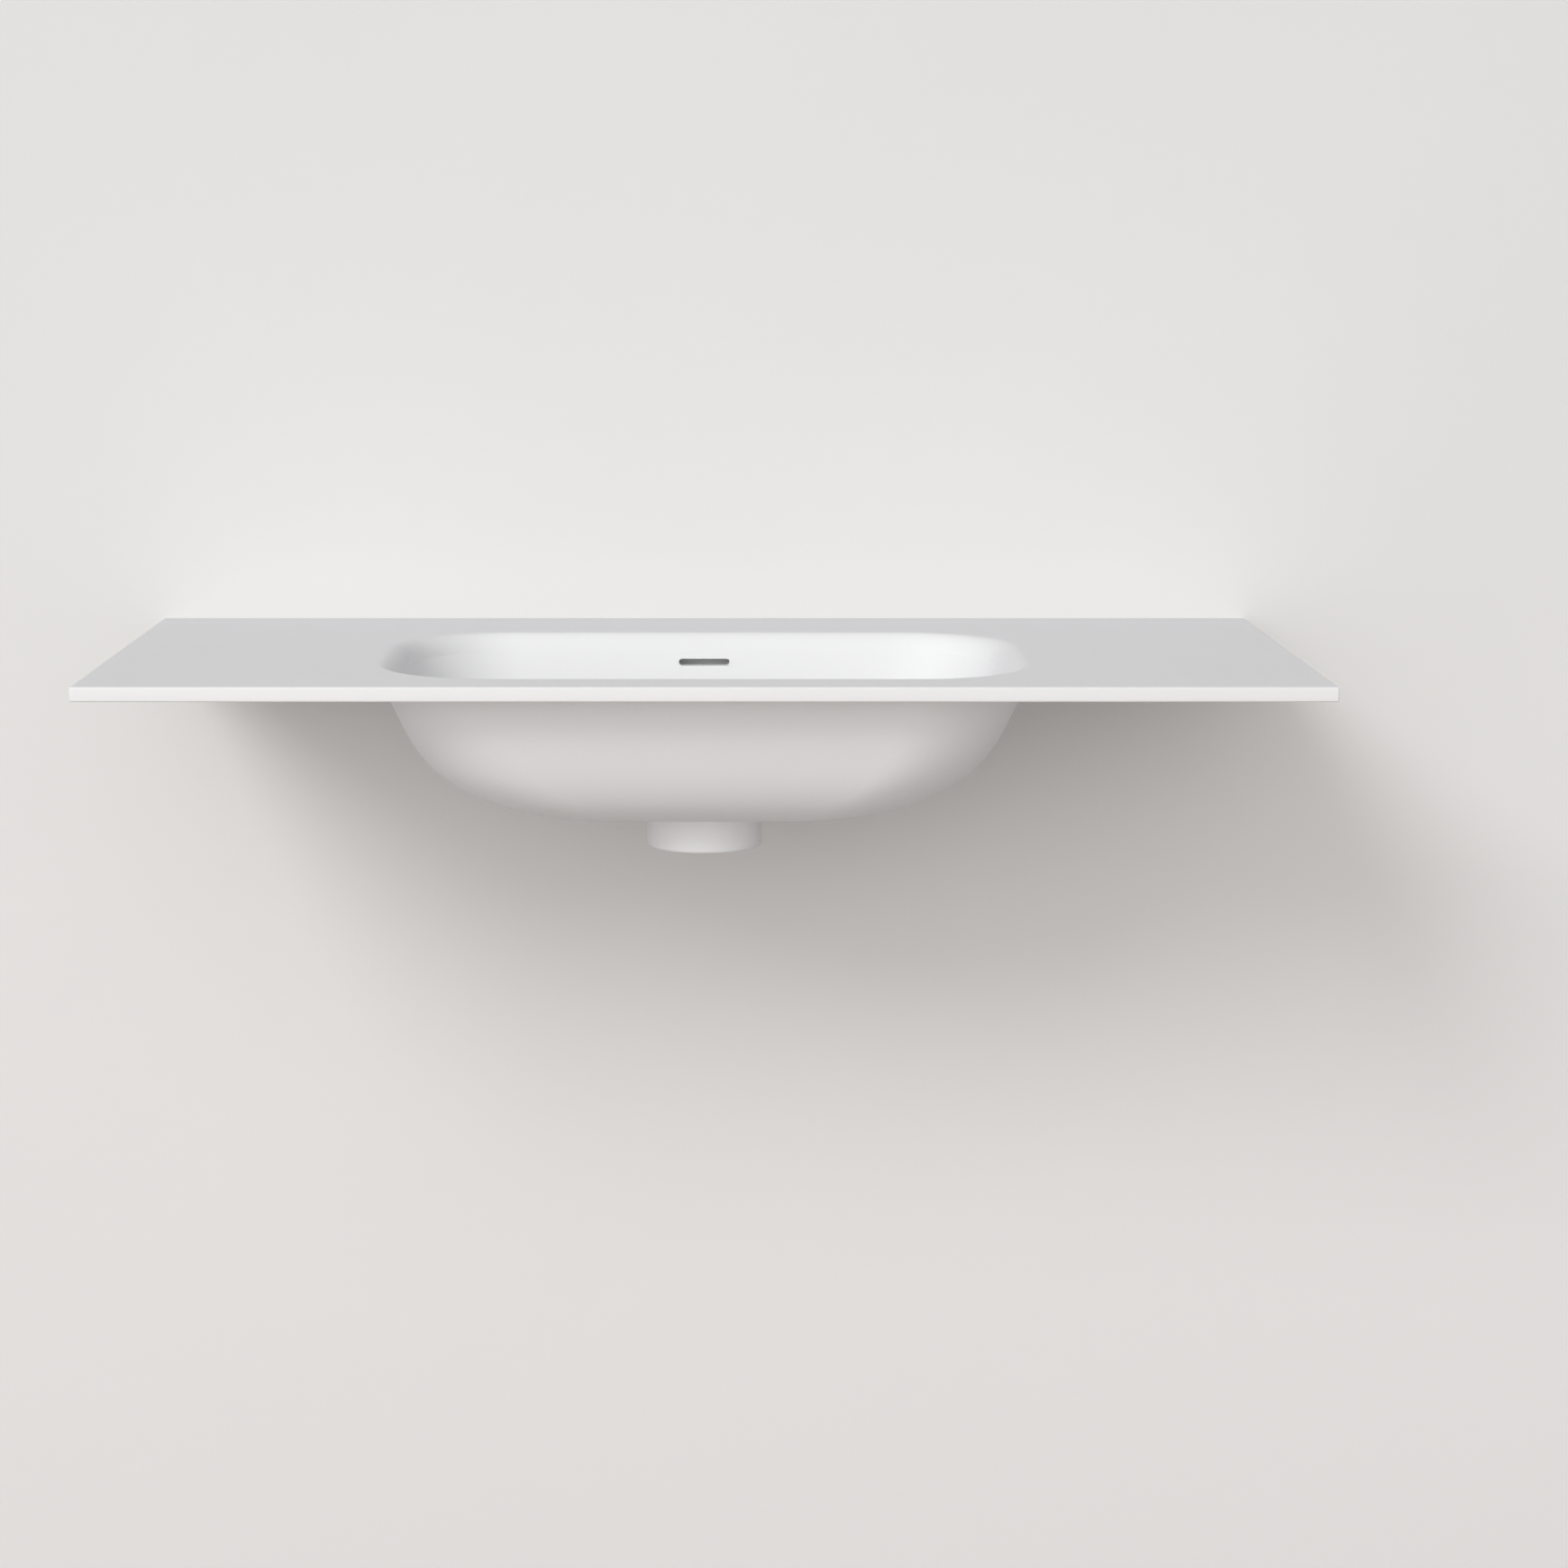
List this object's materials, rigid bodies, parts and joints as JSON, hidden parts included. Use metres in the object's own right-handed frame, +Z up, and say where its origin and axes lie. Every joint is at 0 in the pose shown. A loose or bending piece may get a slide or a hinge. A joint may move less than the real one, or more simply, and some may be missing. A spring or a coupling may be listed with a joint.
{
  "type": "washbasin top",
  "caption": "Thin wall-hung washbasin top in matt white with an oblong bowl under it, an overflow slot, a push-open waste and concealed steel consoles.",
  "frame": {"origin": "middle of the panel's top back edge, on the wall plane", "axes": "+X to the right along the wall as seen from the front, +Y into the wall, +Z up"},
  "size_m": [1, 0.46, 0.167],
  "materials": {
    "solid_surface": "matt white mineral-filled acrylic, fine sanded",
    "chrome": "polished chrome plate",
    "brass": "machined brass",
    "rubber": "black moulded rubber",
    "white_nylon": "natural white moulded plastic",
    "spring_steel": "bright drawn wire",
    "coated_steel": "light grey powder coat",
    "zinc_steel": "zinc plated"
  },
  "bodies": {
    "top": {"deck_panel": "solid_surface", "basin_bowl": "solid_surface", "waste_collar": "solid_surface", "overflow_duct": "solid_surface", "waste_body": "chrome", "flange_seal": "rubber", "back_gasket": "rubber", "slip_washer": "white_nylon", "back_nut": "brass", "cartridge_housing": "white_nylon", "cartridge_cap": "white_nylon", "latch_pin": "spring_steel", "return_spring": "spring_steel", "console_left": "coated_steel", "console_right": "coated_steel", "console_pads": "rubber", "console_screws": "zinc_steel", "console_washers": "zinc_steel", "threaded_inserts": "brass"},
    "plug": {"plug_cap": "chrome", "plug_seal": "rubber", "plunger": "brass"}
  },
  "joints": [
    {"name": "plug_slide", "type": "slide", "parent": "top", "child": "plug", "axis": [0, 0, 1], "range_m": [-0.008, 0], "stiffness_N_per_m": 500, "springref_m": 0.012, "deforming": ["return_spring"]}
  ]
}
